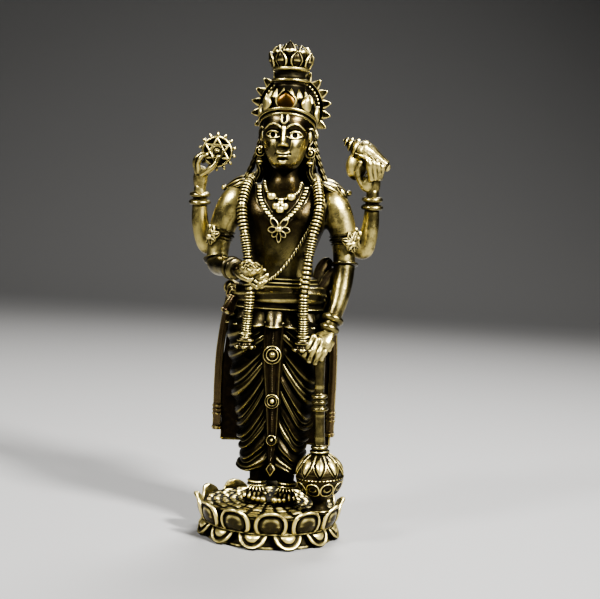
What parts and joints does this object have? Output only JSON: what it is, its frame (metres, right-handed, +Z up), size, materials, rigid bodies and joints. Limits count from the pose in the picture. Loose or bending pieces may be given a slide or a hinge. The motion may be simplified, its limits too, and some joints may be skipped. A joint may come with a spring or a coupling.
{
  "type": "vishnu figure",
  "caption": "Standing deity on a double lotus base, cast as one piece in dark-toned brass, with a tall crown, ray halo, garland and pleated skirt, holding mace, disc, conch and lotus.",
  "frame": {"origin": "centre of the lotus base's flat underside", "axes": "+Z up, the figure faces -Y and its own left hand is towards +X"},
  "size_m": [0.0367, 0.0272, 0.09],
  "materials": {
    "antique_brass": "antique: bright rubbed ridges, olive and reddish brown flats, near-black patina in the hollows"
  },
  "bodies": {
    "root": {"vishnu_on_lotus": "antique_brass"}
  },
  "joints": []
}
